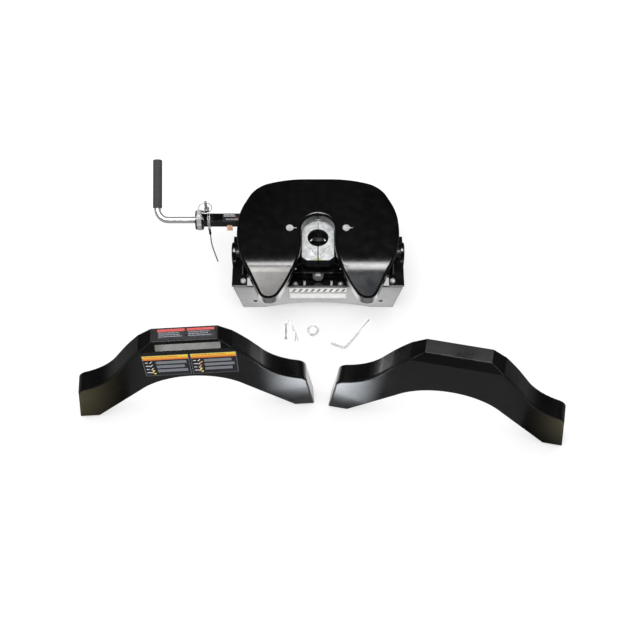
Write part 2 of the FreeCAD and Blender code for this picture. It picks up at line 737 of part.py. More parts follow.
def build_pivot_brackets():
    """An ear with a round lobe on each end of the crossmember, bolted down by two feet."""
    ear_outline = [
        ("-lobe_radius", "64"),
        ("lobe_radius", "64"),
        ("lobe_radius", "pitch_z", "lobe_radius"),
        ("0", "pitch_z + lobe_radius", "lobe_radius"),
        ("-lobe_radius", "pitch_z"),
    ]
    beside_arm = "(arm_outer + 1.5)"
    feet = (
        ("near", beside_arm, "-pan_half_depth + 1", "-24"),
        ("near_tab", "(near_bolt_x - 9)", "-pan_half_depth + 1", "-near_bolt_y + 23"),
        ("far", beside_arm, "24", "far_bolt_y + 12"),
    )
    bolt_spots = (("near", "near_bolt_x", "-near_bolt_y"), ("far", "far_bolt_x", "far_bolt_y"))
    brackets = []
    bolts = []
    nuts = []
    bushings = []
    for side, sign in SIDES.items():
        x = f"min({sign} * ear_outer; {sign} * (ear_outer - ear_thick))"
        ear = plate(f"ear_{side}", "YZ_Plane", "ear_thick", ear_outline, at=(x, "0", "0"),
                    circles=[("0", "pitch_z", "bushing_radius")])
        outer_face = size("ear_thick") if sign > 0 else 0

        def outer_rim(edge):
            ends = [vertex.Point for vertex in edge.Vertexes]
            on_face = all(abs(end.x - outer_face) < 0.01 for end in ends)
            curve = edge.Curve
            bore = isinstance(curve, Part.Circle) and abs(curve.Radius - size("bushing_radius")) < 0.01
            return on_face and not bore and edge.CenterOfMass.z > 65

        round_edges(ear, "ear_round", outer_rim)
        pieces = [ear]
        for foot, inner, low_y, high_y in feet:
            low_x = f"min({sign} * (ear_outer - 3); {sign} * {inner})"
            low = (low_x, low_y, "pan_height")
            high = (f"{low_x} + ear_outer - 3 - {inner}", high_y, "pan_height + 7")
            pieces.append(box(f"ear_foot_{side}_{foot}", low, high))
        whole = fuse(f"bracket_block_{side}", *pieces)
        holes = []
        for foot, x_bolt, y in bolt_spots:
            at = (f"{sign} * {x_bolt}", y, "pan_height - 12")
            holes.append(cylinder(f"bracket_hole_{side}_{foot}", "4.25", "30", "Z", at))
            head_at = (at[0], y, "pan_height + 7")
            shank = cylinder(f"bracket_shank_{side}_{foot}", "4", "19", "Z", at)
            head = hexagon(f"bracket_head_{side}_{foot}", "13", "5.3", "Z turned", head_at)
            bolts.append(fuse(f"bracket_bolt_{side}_{foot}", shank, head))
            nut_at = (at[0], y, "pan_height - 6.5")
            nut = hexagon(f"bracket_nut_block_{side}_{foot}", "13", "6.5", "Z turned", nut_at)
            bore = cylinder(f"bracket_nut_bore_{side}_{foot}", "4 + fit", "6.5", "Z", nut_at)
            nuts.append(cut(f"bracket_nut_{side}_{foot}", nut, bore))
        brackets.append(cut(f"pivot_bracket_{side}", whole, *holes))
        bushings.append(ring(f"pivot_bushing_{side}", "bushing_radius", "pivot_pin + fit", "ear_thick", "X",
                             (x, "0", "pitch_z")))
    group("pivot_brackets", brackets)
    group("pivot_bushings", bushings)
    group("bracket_bolts", bolts)
    group("bracket_nuts", nuts)


# Handle and its guide tube

def build_guide_tube():
    half = "(tube_side / 2)"
    bore = "(tube_bore / 2)"
    outline = rectangle(f"rod_y - {half}", f"rod_z - {half}", f"rod_y + {half}", f"rod_z + {half}")
    inside = rectangle(f"rod_y - {bore}", f"rod_z - {bore}", f"rod_y + {bore}", f"rod_z + {bore}")
    length = "tube_outer_x - tube_inner_x"
    node(plate("guide_tube", "YZ_Plane", length, outline, at=("-tube_outer_x", "0", "0"), cutouts=[inside]),
         "guide_tube")
    guides = []
    for index, x in enumerate(("-tube_outer_x", "-(tube_inner_x + 8)")):
        guides.append(plate(f"guide_{index}", "YZ_Plane", "8", inside, at=(x, "0", "0"),
                            circles=[("rod_y", "rod_z", "rod_radius + fit")]))
    group("rod_guides", guides)
    node(box("tube_mount", ("-(rib_reach + 13)", "rod_y - 14", f"rod_z + {half}"),
             ("-housing_half", "rod_y + 14", "plate_top - plate_rim")), "tube_mount")
    label_low = ("-262", "rod_y - 12", f"rod_z + {half}")
    node(box("tube_label", label_low, ("-215", "rod_y + 12", f"rod_z + {half} + 0.6")), "tube_label")
    node(box("status_flag", ("-251", f"rod_y - {half} - 3", f"rod_z - {half} - 14"),
             ("-236", f"rod_y - {half}", f"rod_z - {half} + 6")), "status_flag")
    lug = box("pull_pin_lug_block", ("-(pull_pin_x + 5.5)", f"rod_y + {half}", "rod_z - 3"),
              ("-(pull_pin_x - 7)", "pull_pin_y + 8", "rod_z + 3"))
    hole = cylinder("pull_pin_lug_hole", "pull_pin_radius + fit", "6", "Z",
                    ("-pull_pin_x", "pull_pin_y", "rod_z - 3"))
    node(cut("pull_pin_lug", lug, hole), "pull_pin_lug")


def build_handle():
    """Bent pull rod turned up by its raise angle, with a closed grip on its arm."""
    body = new_body("pull_handle")
    spine = sketch_on(body, "XY_Plane", "rod_spine")
    bend_start = vector("-(rod_bend_x - rod_bend_radius)", "0", "0")
    bend_end = vector("-rod_bend_x", "rod_bend_radius", "0")
    spine.addGeometry(Part.LineSegment(vector("-rod_start_x", "0", "0"), bend_start), False)
    centre = vector("-(rod_bend_x - rod_bend_radius)", "rod_bend_radius", "0")
    circle = Part.Circle(centre, FreeCAD.Vector(0, 0, 1), size("rod_bend_radius"))
    spine.addGeometry(Part.ArcOfCircle(circle, math.pi, 1.5 * math.pi), False)
    spine.addGeometry(Part.LineSegment(bend_end, vector("-rod_bend_x", "arm_length - grip_cap", "0")), False)
    spine.addConstraint(Sketcher.Constraint("Tangent", 0, 2, 1, 2))
    spine.addConstraint(Sketcher.Constraint("Tangent", 1, 1, 2, 1))
    dimension(spine, "DistanceX", "-rod_start_x", 0, 1)
    dimension(spine, "DistanceY", "0", 0, 1)
    spine.addConstraint(Sketcher.Constraint("Horizontal", 0))
    dimension(spine, "Radius", "rod_bend_radius", 1)
    dimension(spine, "DistanceX", "-rod_bend_x", 2, 2)
    dimension(spine, "DistanceY", "arm_length - grip_cap", 2, 2)
    section = sketch_on(body, "YZ_Plane", "rod_section", offset="-rod_start_x")
    draw_circle(section, "0", "0", "rod_radius")
    doc.recompute()
    rod = body.newObject("PartDesign::AdditivePipe", "rod_pipe")
    rod.Profile = section
    rod.Spine = (spine, ["Edge1", "Edge2", "Edge3"])
    place(body, ("0", "rod_y", "rod_z"), (1, 0, 0), "arm_raise")
    node(body, "handle_rod")

    grip = new_body("grip")
    profile = sketch_on(grip, "XY_Plane", "grip_profile")
    outer_end = "arm_length"
    draw(profile, [
        ("rod_radius", "grip_start"),
        ("grip_radius - 2", "grip_start", "2"),
        ("grip_radius", "grip_start + 2"),
        ("grip_radius", f"{outer_end} - 4", "4"),
        ("grip_radius - 4", outer_end),
        ("0", outer_end),
        ("0", f"{outer_end} - grip_cap"),
        ("rod_radius", f"{outer_end} - grip_cap"),
    ])
    turned = grip.newObject("PartDesign::Revolution", "grip_turned")
    turned.Profile = profile
    turned.ReferenceAxis = (profile, ["V_Axis"])
    turned.Angle = 360
    place(grip, ("-rod_bend_x", "rod_y", "rod_z"), (1, 0, 0), "arm_raise")
    node(grip, "grip_sleeve")


def build_hub():
    """Catch plate between two discs, fixed on the rod just outside the guide tube."""
    outer_x = "(tube_outer_x + 1)"
    disc_hole = [("rod_y", "rod_z", "rod_radius + fit")]
    discs = []
    for name, x in (("inner", f"-({outer_x} + 4)"), ("outer", f"-({outer_x} + 21)")):
        discs.append(ring(f"hub_disc_{name}", "26", "rod_radius + fit", "4", "X", (x, "rod_y", "rod_z")))
    group("hub_discs", discs)
    barrel = [
        ("rod_y + 15", "rod_z - 27", "46"),
        ("rod_y + 15", "rod_z + 27"),
        ("rod_y - 15", "rod_z + 27", "46"),
        ("rod_y - 15", "rod_z - 27"),
    ]
    catch = plate("hub_catch", "YZ_Plane", "13", barrel, at=(f"-({outer_x} + 17)", "0", "0"), circles=disc_hole)
    node(catch, "hub_catch")
    knob_at = (f"-({outer_x} + 12)", "rod_y", "rod_z + 27")
    node(cylinder("hub_knob", "3.9", "9", "Z", knob_at), "hub_knob")
    clip = ring("rod_clip", "rod_radius + 4", "rod_radius + fit", "2.5", "X", ("-(lock_left + 3)", "rod_y", "rod_z"))
    node(clip, "rod_clip")


def build_pull_pin():
    """Safety pin in its lug, with the wire ring through its head."""
    low = ("-pull_pin_x", "pull_pin_y", "rod_z - 26")
    shank = cylinder("pull_pin_shank", "pull_pin_radius", "pull_ring_z + 4 - rod_z + 26", "Z", low)
    collar = cylinder("pull_pin_collar", "6.5", "2.5", "Z", ("-pull_pin_x", "pull_pin_y", "rod_z + 3.3"))
    hole_start = ("-pull_pin_x - 8", "pull_pin_y", "pull_ring_z")
    head_hole = cylinder("pull_pin_head_hole", "2", "16", "X", hole_start)
    node(cut("pull_pin", fuse("pull_pin_bar", shank, collar), head_hole), "pull_pin")
    hoop = doc.addObject("Part::Torus", "pull_ring")
    bind(hoop, Radius1="pull_ring_radius", Radius2="1.4")
    place(hoop, ("-pull_pin_x", "pull_pin_y - pull_ring_radius", "pull_ring_z"))
    node(hoop, "pull_ring")


CHAIN_WIRE = 1.0
CHAIN_HALF = 3.9
CHAIN_STRAIGHT = 5.2


def chain_link(centre, along, across):
    """One oval link: two straight runs and two half rounds of the same wire."""
    side = across * CHAIN_HALF
    run = along * (CHAIN_STRAIGHT / 2)
    corners = [centre - run + side, centre + run + side, centre + run - side, centre - run - side]
    tips = [centre + run + along * CHAIN_HALF, centre - run - along * CHAIN_HALF]
    edges = [
        Part.LineSegment(corners[0], corners[1]).toShape(),
        Part.Arc(corners[1], tips[0], corners[2]).toShape(),
        Part.LineSegment(corners[2], corners[3]).toShape(),
        Part.Arc(corners[3], tips[1], corners[0]).toShape(),
    ]
    section = Part.Wire(Part.makeCircle(CHAIN_WIRE, corners[0], along))
    return Part.Wire(edges).makePipeShell([section], True, True)


def build_chain():
    """Short chain over the guide tube, its links turned a quarter turn from one to the next."""
    route = [
        vector("-300", "rod_y + 1.6", "rod_z + 18.1"),
        vector("-299.5", "rod_y - 8", "rod_z + 18.1"),
        vector("-299", "rod_y - 15.6", "rod_z + 15.6"),
        vector("-299", "rod_y - 17.5", "rod_z + 8.2"),
        vector("-299", "rod_y - 17.5", "rod_z - 1.5"),
        vector("-299", "rod_y - 17.5", "rod_z - 11.2"),
    ]
    links = []
    for index, centre in enumerate(route):
        before = route[max(index - 1, 0)]
        after = route[min(index + 1, len(route) - 1)]
        along = (after - before).normalize()
        flat = along.cross(FreeCAD.Vector(1, 0, 0)).normalize()
        sideways = along.cross(flat).normalize()
        across = flat + sideways if index % 2 else flat - sideways
        links.append(chain_link(centre, along, across.normalize()))
    shaped("safety_chain", Part.makeCompound(links))


LANYARD_RADIUS = 1.5
LANYARD_ROUTE = [(-299, 74.5, 89), (-299, 74.5, 76), (-299.5, 73.5, 60), (-298, 69.5, 43), (-294, 62, 27),
                 (-288.5, 52, 13.5), (-283, 40, 3.5)]


def build_lanyard():
    """Crimp under the chain and the short black cord that hangs from it to the floor."""
    barrel = cylinder("crimp_barrel", "3.2", "18.8", "Z", ("-299", "rod_y - 17.5", "89"))
    eye = doc.addObject("Part::Torus", "crimp_eye")
    bind(eye, Radius1="3", Radius2="1")
    place(eye, ("-299", "rod_y - 17.5", "rod_z - 18.5"), (-1, 1, 0), 90)
    node(fuse("crimp_and_eye", barrel, eye), "lanyard_crimp")
    points = [FreeCAD.Vector(*point) for point in LANYARD_ROUTE]
    radii = []
    for before, corner, after in zip(points, points[1:], points[2:]):
        turn = (corner - before).getAngle(after - corner)
        run = min((corner - before).Length, (after - corner).Length)
        radii.append(0.45 * run / math.tan(turn / 2))
    wire = path_wire(points, radii)
    cord = tube_along(wire, LANYARD_RADIUS)
    print("lanyard radii", [round(r, 1) for r in radii], "length", round(wire.Length, 1),
          "volume over section times length", round(cord.Volume / (math.pi * LANYARD_RADIUS ** 2 * wire.Length), 4))
    shaped("lanyard_cord", cord)


# Legs, standing free in front of the head

def leg_outline():
    """Right half of the arched leg, from the crown over the foot up to the flat top."""
    crown_radius = "(leg_spring_x^2 + (leg_crown - leg_spring_z)^2) / (2 * (leg_crown - leg_spring_z))"
    right = [
        ("0", "leg_crown", f"-({crown_radius})"),
        ("leg_spring_x", "leg_spring_z"),
        ("leg_foot", "leg_tab"),
        ("leg_half", "leg_tab"),
        ("leg_shoulder_x", "leg_shoulder_z", "33"),
        ("leg_shoulder_x - 25", "leg_shoulder_z + 33", "-163"),
        ("175", "232"),
        ("151", "270", "600"),
        ("leg_ridge_half", "leg_ridge_z"),
        ("leg_top_half", "leg_height"),
        ("0", "leg_height"),
    ]
    return symmetric(right)


def leg_hollow_outline():
    """Right half of the recess in the leg's back, a wall's width inside the outline."""
    right = [
        ("0", "leg_crown + leg_wall", "-(leg_crown + 4)"),
        ("leg_spring_x + 4", "leg_spring_z + leg_wall"),
        ("leg_foot + leg_wall", "leg_tab + leg_wall + 3"),
        ("leg_half - leg_wall - 2", "leg_tab + leg_wall + 3"),
        ("leg_shoulder_x - leg_wall - 1", "leg_shoulder_z", "26"),
        ("leg_shoulder_x - 27", "leg_shoulder_z + 26", "-170"),
        ("169", "228"),
        ("145", "266"),
        ("leg_ridge_half - 4", "leg_ridge_z - 9"),
        ("0", "leg_ridge_z - 9"),
    ]
    return symmetric(right)


def build_leg(side):
    body = new_body(f"leg_shell_{side}")
    front = sketch_on(body, "XZ_Plane", f"leg_front_{side}")
    draw(front, leg_outline())
    pad(body, front, "leg_depth")
    bevel = sketch_on(body, "YZ_Plane", f"leg_bevel_{side}")
    draw(bevel, [("-1", "leg_ridge_z - 2.5"), ("-1", "leg_height + 2"), ("leg_bevel + 1", "leg_height + 2")])
    pocket_through(body, bevel)

    def front_rim(edge):
        ends = [vertex.Point for vertex in edge.Vertexes]
        on_front = all(abs(end.y) < 0.01 for end in ends)
        low = all(end.z < size("leg_ridge_z - 3") for end in ends)
        return on_front and low

    round_edges(body, "leg_round", front_rim)
    hollow = sketch_on(body, "XZ_Plane", f"leg_hollow_{side}", offset="-leg_depth")
    draw(hollow, leg_hollow_outline())
    recess = body.newObject("PartDesign::Pocket", f"leg_recess_{side}")
    recess.Profile = hollow
    bind(recess, Length="leg_depth - leg_wall")
    recess.Reversed = True
    tabs = []
    for index, sign in enumerate((-1, 1)):
        low = (f"{sign} * 264 - 8", "6", "0")
        high = (f"{sign} * 264 + 8", "44", "leg_tab")
        tabs.append(box(f"leg_{side}_tab_{index}", low, high))
    leg = fuse(f"leg_whole_{side}", body, *tabs)
    place(leg, (f"leg_{side}_x", f"leg_{side}_y", "0"), (0, 0, 1), f"leg_{side}_turn")
    node(leg, f"leg_{side}")


def turned_box(name, low, high, tilt="0", pivot=("0", "0", "0")):
    """A thin sheet on the left leg, in the leg's own frame, tilted about X at a pivot."""
    sheet_block = doc.addObject("Part::Box", name)
    lengths = [f"({b}) - ({a})" for a, b in zip(low, high)]
    bind(sheet_block, Length=lengths[0], Width=lengths[1], Height=lengths[2])
    lean = FreeCAD.Placement(vector(*pivot), FreeCAD.Rotation(FreeCAD.Vector(1, 0, 0), size(tilt)))
    stand = FreeCAD.Placement(
        vector("leg_left_x", "leg_left_y", "0"),
        FreeCAD.Rotation(FreeCAD.Vector(0, 0, 1), size("leg_left_turn")),
    )
    sheet_block.Placement = stand * lean * FreeCAD.Placement(vector(*low), FreeCAD.Rotation())
    return sheet_block


def build_leg_labels():
    panels = [
        turned_box("leg_panel_left", ("-106", "-0.5", "208"), ("5", "0", "307")),
        turned_box("leg_panel_right", ("9", "-0.5", "208"), ("119", "0", "307")),
    ]
    group("leg_panels", panels)
    tilt = "-atan((leg_bevel + 2) / (leg_height + 4.5 - leg_ridge_z))"
    ridge = ("0", "-1", "leg_ridge_z - 2.5")
    facet = turned_box("facet_bars", ("-70", "-0.5", "5"), ("84", "0", "23"), tilt, ridge)
    node(facet, "leg_facet_bars")
    top = turned_box("top_panels", ("-62", "leg_bevel + 5", "leg_height"), ("74", "leg_depth - 3", "leg_height + 0.5"))
    node(top, "leg_top_panels")


# Loose hardware on the floor

def build_clevis_pin():
    shank = cylinder("clevis_shank", "4", "40", "Y", ("-87", "-213", "6"))
    head = cylinder("clevis_head", "6", "4", "Y", ("-87", "-173", "6"))
    hole = cylinder("clevis_hole", "1.5", "14", "Z", ("-87", "-208", "-1"))
    node(cut("clevis_pin", fuse("clevis_bar", shank, head), hole), "clevis_pin")


def build_hair_pin():
    """Hairpin clip: a straight leg, a round eye and a waved leg of one wire."""
    wire_radius = 1.25
    height = wire_radius
    points = [(-53.5, -217), (-70, -166), (-74.5, -154), (-83, -157), (-80, -167), (-72, -172),
              (-68.5, -184), (-59.5, -190), (-62, -218)]
    radii = [4.5, 4.5, 4.5, 4.5, 4.5, 4.5, 4]
    wire = path_wire([FreeCAD.Vector(x, y, height) for x, y in points], radii)
    shaped("hairpin_clip", tube_along(wire, wire_radius))


def build_hex_key():
    """Bent six-sided bar lying flat."""
    half_flats = 3
    corners = [(35, -225), (72, -241), (139, -153)]
    wire = path_wire([FreeCAD.Vector(x, y, half_flats) for x, y in corners], [9])
    first = wire.OrderedEdges[0]
    start = first.valueAt(first.FirstParameter)
    along = first.tangentAt(first.FirstParameter)
    sideways = along.cross(FreeCAD.Vector(0, 0, 1))
    ring_points = []
    for index in range(7):
        angle = math.radians(60 * index)
        reach = half_flats / math.cos(math.radians(30))
        ring_points.append(start + sideways * (reach * math.cos(angle)) + FreeCAD.Vector(0, 0, reach * math.sin(angle)))
    section = Part.makePolygon(ring_points)
    shaped("hex_key", wire.makePipeShell([section], True, True))


build_skid_plate()
build_lube_fittings()
build_housing()
build_jaws()
build_lock()
build_saddle()
build_yoke()
build_crossmember()
build_pivot_brackets()
build_guide_tube()
build_handle()
build_hub()
build_pull_pin()
build_chain()
build_lanyard()
build_leg("left")
build_leg("right")
build_leg_labels()
build_clevis_pin()
build_hair_pin()
node(ring("flat_washer", "17", "9.5", "3", "Z", ("-14", "-186", "0")), "flat_washer")
build_hex_key()
doc.recompute()

for thing in doc.Objects:
    if "Invalid" in thing.State or "Error" in thing.State:
        raise ValueError(f"{thing.Label} is {thing.State}")
for piece in nodes:
    if piece.Shape.isNull() or not piece.Shape.isValid():
        raise ValueError(piece.Label + " has no valid shape")
os.makedirs("parts", exist_ok=True)
for piece in nodes:
    piece.Shape.exportStep(f"parts/{piece.Label}.step")
    print(piece.Label, len(piece.Shape.Solids), round(piece.Shape.Volume))
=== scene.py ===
import json
import math
import random

import bmesh
import bpy
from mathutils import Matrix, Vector


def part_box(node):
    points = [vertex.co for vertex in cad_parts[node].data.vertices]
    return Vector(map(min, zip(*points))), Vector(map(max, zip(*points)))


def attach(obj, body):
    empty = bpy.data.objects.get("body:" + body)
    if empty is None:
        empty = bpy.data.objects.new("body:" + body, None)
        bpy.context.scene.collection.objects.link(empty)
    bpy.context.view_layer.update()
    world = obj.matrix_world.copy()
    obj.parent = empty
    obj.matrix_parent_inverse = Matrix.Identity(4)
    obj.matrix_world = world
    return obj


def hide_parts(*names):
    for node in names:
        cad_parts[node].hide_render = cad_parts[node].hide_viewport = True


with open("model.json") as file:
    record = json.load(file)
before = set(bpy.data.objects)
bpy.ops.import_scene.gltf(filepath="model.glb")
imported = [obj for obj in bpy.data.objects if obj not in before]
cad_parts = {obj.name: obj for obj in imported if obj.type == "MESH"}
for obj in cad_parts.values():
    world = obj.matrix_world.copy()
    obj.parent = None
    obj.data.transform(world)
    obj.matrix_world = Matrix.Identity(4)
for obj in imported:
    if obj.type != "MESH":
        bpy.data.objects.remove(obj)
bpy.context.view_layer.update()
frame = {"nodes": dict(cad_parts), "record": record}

# A fifth wheel hitch as a kit: head on its crossmember, two arched legs and small hardware.
# Metres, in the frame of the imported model: X right, Y away from the throat's mouth, Z up.

scene = bpy.context.scene
nodes = frame["nodes"]
MM = 0.001


# Camera

CAMERA_AT = Vector((0.0053, -1.704, 2.585))
CAMERA_DIP = math.radians(59)
FOCAL_MM = 61.9

camera_data = bpy.data.cameras.new("camera")
camera_data.lens = FOCAL_MM
camera_data.sensor_width = 36
camera = bpy.data.objects.new("camera", camera_data)
camera.location = CAMERA_AT
camera.rotation_euler = (math.radians(90) - CAMERA_DIP, 0, 0)
scene.collection.objects.link(camera)
scene.camera = camera


# Material building

def new_material(name):
    """A node material with a Principled shader; returns the material, its nodes, links and shader."""
    material = bpy.data.materials.new(name)
    material.use_nodes = True
    tree = material.node_tree
    shader = tree.nodes["Principled BSDF"]
    return material, tree.nodes, tree.links, shader


def noise(tree_nodes, links, coordinates, scale, detail=4.0, stretch=(1, 1, 1)):
    """A noise texture over the object's own coordinates, stretched along its axes."""
    mapping = tree_nodes.new("ShaderNodeMapping")
    mapping.inputs["Scale"].default_value = stretch
    texture = tree_nodes.new("ShaderNodeTexNoise")
    texture.inputs["Scale"].default_value = scale
    texture.inputs["Detail"].default_value = detail
    links.new(coordinates, mapping.inputs["Vector"])
    links.new(mapping.outputs["Vector"], texture.inputs["Vector"])
    return texture.outputs["Fac"]


def ramp(tree_nodes, links, value, stops):
    """A colour ramp over a value; stops are (position, colour)."""
    node = tree_nodes.new("ShaderNodeValToRGB")
    elements = node.color_ramp.elements
    elements[0].position, elements[0].color = stops[0][0], (*stops[0][1], 1)
    elements[1].position, elements[1].color = stops[-1][0], (*stops[-1][1], 1)
    for position, colour in stops[1:-1]:
        element = elements.new(position)
        element.color = (*colour, 1)
    links.new(value, node.inputs["Fac"])
    return node.outputs["Color"]


def spread(tree_nodes, links, value, low, high, start=0.3, end=0.7):
    """A value mapped from start..end to low..high."""
    node = tree_nodes.new("ShaderNodeMapRange")
    node.inputs["From Min"].default_value = start
    node.inputs["From Max"].default_value = end
    node.inputs["To Min"].default_value = low
    node.inputs["To Max"].default_value = high
    links.new(value, node.inputs["Value"])
    return node.outputs["Result"]


def mixed(tree_nodes, links, mask, first, second):
    """Two colours mixed by a mask; each is a colour or a socket."""
    node = tree_nodes.new("ShaderNodeMix")
    node.data_type = "RGBA"
    links.new(mask, node.inputs["Factor"])
    for side, value in (("A", first), ("B", second)):
        socket = [s for s in node.inputs if s.name == side and s.type == "RGBA"][0]
        if isinstance(value, bpy.types.NodeSocket):
            links.new(value, socket)
        else:
            socket.default_value = (*value, 1)
    return [s for s in node.outputs if s.type == "RGBA"][0]


def surface(name, dark, light, grain=8.0, rough=(0.3, 0.4), rough_grain=30.0, bump=(600.0, 0.1, 0.0002),
            metallic=0.0, edge=0.0, stretch=(1, 1, 1), wear=None, specks=None, specular=0.5, coat=0.0,
            second_bump=None, painted_upright_shade=None):
    """A finished surface: clouded colour, uneven roughness, fine relief, rounded and worn edges, and, when
    asked, painted shade on its upright faces.
    """
    material, tree_nodes, links, shader = new_material(name)
    coordinates = tree_nodes.new("ShaderNodeTexCoord").outputs["Object"]
    cloud = noise(tree_nodes, links, coordinates, grain, 5.0)
    colour = ramp(tree_nodes, links, cloud, [(0.32, dark), (0.68, light)])
    if specks:
        speck_scale, threshold, speck_colour = specks
        dots = noise(tree_nodes, links, coordinates, speck_scale, 1.0)
        mask = spread(tree_nodes, links, dots, 0.0, 1.0, threshold, threshold + 0.03)
        colour = mixed(tree_nodes, links, mask, colour, speck_colour)
    relief = noise(tree_nodes, links, coordinates, bump[0], 3.0, stretch)
    bump_node = tree_nodes.new("ShaderNodeBump")
    bump_node.inputs["Strength"].default_value = bump[1]
    bump_node.inputs["Distance"].default_value = bump[2]
    links.new(relief, bump_node.inputs["Height"])
    if edge:
        bevel = tree_nodes.new("ShaderNodeBevel")
        bevel.samples = 4
        bevel.inputs["Radius"].default_value = edge
        links.new(bevel.outputs["Normal"], bump_node.inputs["Normal"])
        if wear:
            geometry = tree_nodes.new("ShaderNodeNewGeometry")
            facing = tree_nodes.new("ShaderNodeVectorMath")
            facing.operation = "DOT_PRODUCT"
            links.new(bevel.outputs["Normal"], facing.inputs[0])
            links.new(geometry.outputs["Normal"], facing.inputs[1])
            worn = spread(tree_nodes, links, facing.outputs["Value"], 1.0, 0.0, 0.86, 0.985)
            patchy = spread(tree_nodes, links, noise(tree_nodes, links, coordinates, 90.0), 0.15, 1.0)
            product = tree_nodes.new("ShaderNodeMath")
            product.operation = "MULTIPLY"
            links.new(worn, product.inputs[0])
            links.new(patchy, product.inputs[1])
            colour = mixed(tree_nodes, links, product.outputs["Value"], colour, wear)
    # Painted shade: faces that stand upright, such as the jaws' fronts and the wall of their bore, take a
    # near-black colour for the shade that falls there.
    if painted_upright_shade:
        facing_up = tree_nodes.new("ShaderNodeSeparateXYZ")
        links.new(tree_nodes.new("ShaderNodeNewGeometry").outputs["True Normal"], facing_up.inputs["Vector"])
        steep = tree_nodes.new("ShaderNodeMath")
        steep.operation = "ABSOLUTE"
        links.new(facing_up.outputs["Z"], steep.inputs[0])
        mask = spread(tree_nodes, links, steep.outputs["Value"], 1.0, 0.0, 0.78, 0.9)
        colour = mixed(tree_nodes, links, mask, colour, painted_upright_shade)
    last_normal = bump_node.outputs["Normal"]
    if second_bump:
        coarse = noise(tree_nodes, links, coordinates, second_bump[0], 2.0)
        coarse_node = tree_nodes.new("ShaderNodeBump")
        coarse_node.inputs["Strength"].default_value = second_bump[1]
        coarse_node.inputs["Distance"].default_value = second_bump[2]
        links.new(coarse, coarse_node.inputs["Height"])
        links.new(last_normal, coarse_node.inputs["Normal"])
        last_normal = coarse_node.outputs["Normal"]
    patches = noise(tree_nodes, links, coordinates, rough_grain, 4.0, stretch)
    links.new(spread(tree_nodes, links, patches, *rough), shader.inputs["Roughness"])
    links.new(colour, shader.inputs["Base Color"])
    links.new(last_normal, shader.inputs["Normal"])
    shader.inputs["Metallic"].default_value = metallic
    shader.inputs["Specular IOR Level"].default_value = specular
    shader.inputs["Coat Weight"].default_value = coat
    return material


def graded(name, stops, axis="Z", rough=0.4):
    """A printed band whose colour runs from one side of the piece to the other."""
    material, tree_nodes, links, shader = new_material(name)
    coordinates = tree_nodes.new("ShaderNodeTexCoord")
    split = tree_nodes.new("ShaderNodeSeparateXYZ")
    links.new(coordinates.outputs["Generated"], split.inputs["Vector"])
    colour = ramp(tree_nodes, links, split.outputs[axis], stops)
    ink = noise(tree_nodes, links, coordinates.outputs["Object"], 700.0)
    links.new(mixed(tree_nodes, links, spread(tree_nodes, links, ink, 0.0, 0.25), colour, (0.02, 0.02, 0.02)),
              shader.inputs["Base Color"])
    links.new(spread(tree_nodes, links, ink, rough - 0.08, rough + 0.08), shader.inputs["Roughness"])
    return material


BLACK = (0.0020, 0.0022, 0.0028)
BLACK_WARM = (0.0048, 0.0046, 0.0044)
DUST = (0.16, 0.16, 0.15)
BARE = (0.10, 0.10, 0.095)

paint = surface("black_gloss_paint", BLACK, BLACK_WARM, 5.0, (0.16, 0.26), 40.0, (700.0, 0.12, 0.00025),
                edge=0.0016, wear=BARE, specks=(420.0, 0.82, DUST), coat=0.25,
                second_bump=(55.0, 0.06, 0.0006))
leg_paint = surface("leg_paint", BLACK, BLACK_WARM, 4.0, (0.24, 0.36), 18.0, (650.0, 0.15, 0.00025),
                    edge=0.003, wear=BARE, specks=(380.0, 0.815, DUST), coat=0.1,
                    second_bump=(30.0, 0.05, 0.001))
# The crossmember's near panel is black paint like the rest; its dark grey base is painted reflected light, on
# top of the glossy reflection of panel_sheen. Its pale specks are dust.
panel_paint_with_painted_sheen = surface("panel_paint_with_painted_sheen", (0.05, 0.05, 0.05), (0.085, 0.083, 0.08), 14.0, (0.28, 0.42), 22.0,
                      (600.0, 0.18, 0.00025), edge=0.0015, wear=BARE, specks=(380.0, 0.77, (0.5, 0.5, 0.48)),
                      specular=0.9)
zinc = surface("bright_zinc", (0.50, 0.51, 0.52), (0.78, 0.79, 0.80), 120.0, (0.28, 0.46), 160.0,
               (900.0, 0.25, 0.0002), metallic=0.55, edge=0.0006, wear=(0.85, 0.85, 0.86))
# The jaws' own zinc, with painted shade in near black on their upright faces: their fronts and the wall of
# the bore.
jaw_zinc = surface("jaw_zinc", (0.52, 0.54, 0.55), (0.86, 0.88, 0.88), 75.0, (0.34, 0.55), 90.0,
                   (700.0, 0.35, 0.0003), metallic=0.35, edge=0.0008, wear=(0.92, 0.92, 0.92),
                   specks=(170.0, 0.69, (0.33, 0.35, 0.37)), painted_upright_shade=(0.012, 0.012, 0.014))
dull_steel = surface("dull_steel", (0.05, 0.05, 0.052), (0.11, 0.11, 0.11), 60.0, (0.3, 0.45), 90.0,
                     (900.0, 0.2, 0.0002), metallic=0.5, edge=0.0006, wear=(0.4, 0.4, 0.4))
rod_metal = surface("polished_rod", (0.76, 0.76, 0.76), (0.90, 0.90, 0.90), 25.0, (0.14, 0.24), 60.0,
                    (1500.0, 0.12, 0.0001), metallic=0.7, edge=0.0005, stretch=(0.05, 1, 1))
foam = surface("foam_grip", (0.034, 0.031, 0.034), (0.056, 0.052, 0.055), 260.0, (0.72, 0.9), 300.0,
               (1800.0, 0.55, 0.0005), specular=0.3)
rubber = surface("black_rubber", (0.010, 0.010, 0.010), (0.020, 0.020, 0.020), 200.0, (0.5, 0.7), 200.0,
                 (1500.0, 0.3, 0.0002))
